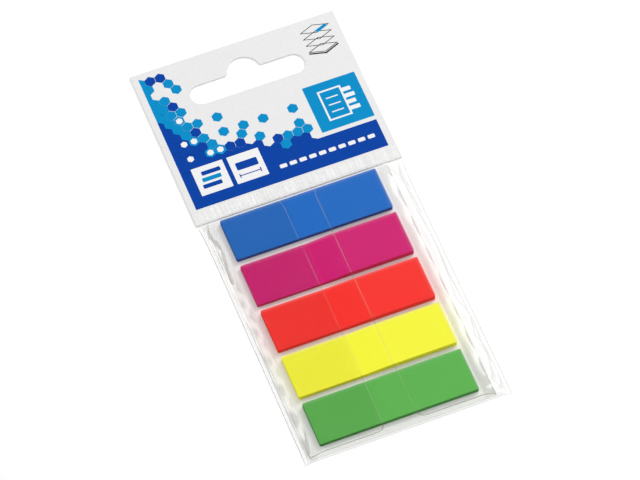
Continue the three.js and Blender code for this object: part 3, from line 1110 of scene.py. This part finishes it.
class TABPACK_OT_sheet(Operator):
    """Gives the folded dispenser sheet its clear film"""

    bl_idname = "tabpack.sheet"
    bl_label = "Finish the dispenser sheet"

    def execute(self, context):
        """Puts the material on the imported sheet."""
        looks = context.scene.tabpack_film
        let_light_through(dress("dispenser_sheet", sheet_material(looks.tint, looks.haze)))
        self.cut_edges()
        return {"FINISHED"}

    def cut_edges(self):
        """The cut edges of the two wings, which gather light into thin lines."""
        work = bmesh.new()
        self.wing_edges(work, SHEET_LOW.x + SIDE_INSET, WINDOW[0], LEFT_WING_TOP)
        self.wing_edges(work, SHEET_HIGH.x - SIDE_INSET, WINDOW[1], SHEET_HIGH.z)
        bmesh.ops.recalc_face_normals(work, faces=work.faces)
        for face in work.faces:
            if face.normal.z < 0:
                face.normal_flip()
        piece = finish_mesh("sheet_edges", work, (edge_material(),))
        let_light_through(piece)

    def wing_edges(self, work, outer, inner, top):
        """A thin frame along a wing, rounded at the window and bent at the knee."""
        before = set(work.faces)
        left, right = sorted((outer, inner))
        foot, head = SHEET_LOW.y + END_INSET, SHEET_HIGH.y - END_INSET
        points = rectangle(work, left, foot, right, head, columns=WING_COLUMNS)
        ends = [point for point in points if abs(point.co.x - inner) < 0.01]
        round_corners(work, ends, WING_CORNER, 8)
        plate = new_faces(work, before)
        bmesh.ops.inset_region(
            work, faces=plate, thickness=EDGE_WIDTH, use_even_offset=True, use_boundary=True
        )
        bmesh.ops.delete(work, geom=plate, context="FACES")
        for vert in {vert for face in new_faces(work, before) for vert in face.verts}:
            rise = min(1.0, abs(vert.co.x - outer) / KNEE_RUN)
            vert.co.z = KNEE_FOOT + (top - KNEE_FOOT) * rise + EDGE_LIFT


# The stage


class TABPACK_OT_stage(Operator):
    """Sets up the floor, the light and the camera"""

    bl_idname = "tabpack.stage"
    bl_label = "Set the stage"

    def execute(self, context):
        """Builds the floor, the softboxes, the world and the camera."""
        looks = context.scene.tabpack_stage
        scene = context.scene
        floor = self.floor(looks.floor)
        scene.world = self.backdrop(looks.fill)
        for name, spot, size, share in SOFTBOXES:
            self.softbox(name, spot, size, looks.key * share)
        self.camera(scene, looks.lens)
        scene.view_settings.view_transform = "Standard"
        return {"FINISHED"}

    def backdrop(self, fill):
        """A world that is white to look at and lights the pack at the fill."""
        world = bpy.data.worlds.new("Studio")
        world.use_nodes = True
        tree = world.node_tree
        rise = maths(tree, "MULTIPLY", seen_rays(tree), 1.0 - fill)
        looks = {"Color": (1.0, 1.0, 1.0, 1.0), "Strength": maths(tree, "ADD", rise, fill)}
        connect(tree, tree.nodes["Background"], looks)
        return world

    def floor(self, colour):
        """A wide sheet of pale paper under the pack."""
        work = bmesh.new()
        bmesh.ops.create_grid(work, x_segments=1, y_segments=1, size=FLOOR_HALF)
        bmesh.ops.translate(work, vec=(0, 0, -FLOOR_DROP * MM), verts=work.verts)
        return add_object("floor", mesh_from(work, "floor", (floor_material(colour),)))

    def softbox(self, name, spot, size, power):
        """A soft light turned to the pack."""
        light = bpy.data.lights.new(name, "AREA")
        light.shape = "RECTANGLE"
        light.size, light.size_y = size
        light.energy = power
        holder = add_object(name, light)
        holder.location = spot
        holder.rotation_euler = (-Vector(spot)).to_track_quat("-Z", "Y").to_euler()

    def camera(self, scene, lens):
        """The camera above the pack's lower left."""
        optics = bpy.data.cameras.new("Camera")
        optics.sensor_width = SENSOR_WIDTH
        optics.lens = lens
        optics.clip_start = NEAREST
        spot, target = Vector(CAMERA_SPOT) * MM, Vector(CAMERA_TARGET) * MM
        turn = (target - spot).to_track_quat("-Z", "Y").to_matrix()
        roll = Matrix.Rotation(math.radians(CAMERA_ROLL), 3, "Z")
        camera = add_object("Camera", optics)
        camera.matrix_world = Matrix.Translation(spot) @ (turn @ roll).to_4x4()
        scene.camera = camera


class TABPACK_PT_panel(Panel):
    """The pack's settings and steps in the sidebar"""

    bl_label = "Tab Pack"
    bl_idname = "TABPACK_PT_panel"
    bl_space_type = "VIEW_3D"
    bl_region_type = "UI"
    bl_category = "Tab Pack"

    def draw(self, context):
        """Lists each step with its settings."""
        layout = self.layout
        for group, operators in STEPS:
            looks = getattr(context.scene, group)
            column = layout.column(align=True)
            for setting in looks.__annotations__:
                column.prop(looks, setting)
            for operator in operators:
                column.operator(operator)


STEPS = (
    ("tabpack_card", ("tabpack.card", "tabpack.print")),
    ("tabpack_tabs", ("tabpack.tabs",)),
    ("tabpack_film", ("tabpack.sheet", "tabpack.pouch")),
    ("tabpack_stage", ("tabpack.stage",)),
)
GROUPS = {
    "tabpack_card": CardSettings,
    "tabpack_tabs": TabSettings,
    "tabpack_film": FilmSettings,
    "tabpack_stage": StageSettings,
}
CLASSES = (
    TABPACK_OT_card,
    TABPACK_OT_print,
    TABPACK_OT_tabs,
    TABPACK_OT_pouch,
    TABPACK_OT_sheet,
    TABPACK_OT_stage,
    TABPACK_PT_panel,
)


def register():
    """Adds the settings, the steps and the panel."""
    for name, group in GROUPS.items():
        bpy.utils.register_class(group)
        setattr(bpy.types.Scene, name, PointerProperty(type=group))
    for entry in CLASSES:
        bpy.utils.register_class(entry)


def unregister():
    """Takes the panel, the steps and the settings away."""
    for entry in reversed(CLASSES):
        bpy.utils.unregister_class(entry)
    for name, group in GROUPS.items():
        delattr(bpy.types.Scene, name)
        bpy.utils.unregister_class(group)


def main():
    """Runs every step."""
    register()
    bpy.ops.tabpack.card()
    bpy.ops.tabpack.print()
    bpy.ops.tabpack.tabs()
    bpy.ops.tabpack.sheet()
    bpy.ops.tabpack.pouch()
    bpy.ops.tabpack.stage()


if __name__ == "__main__":
    main()
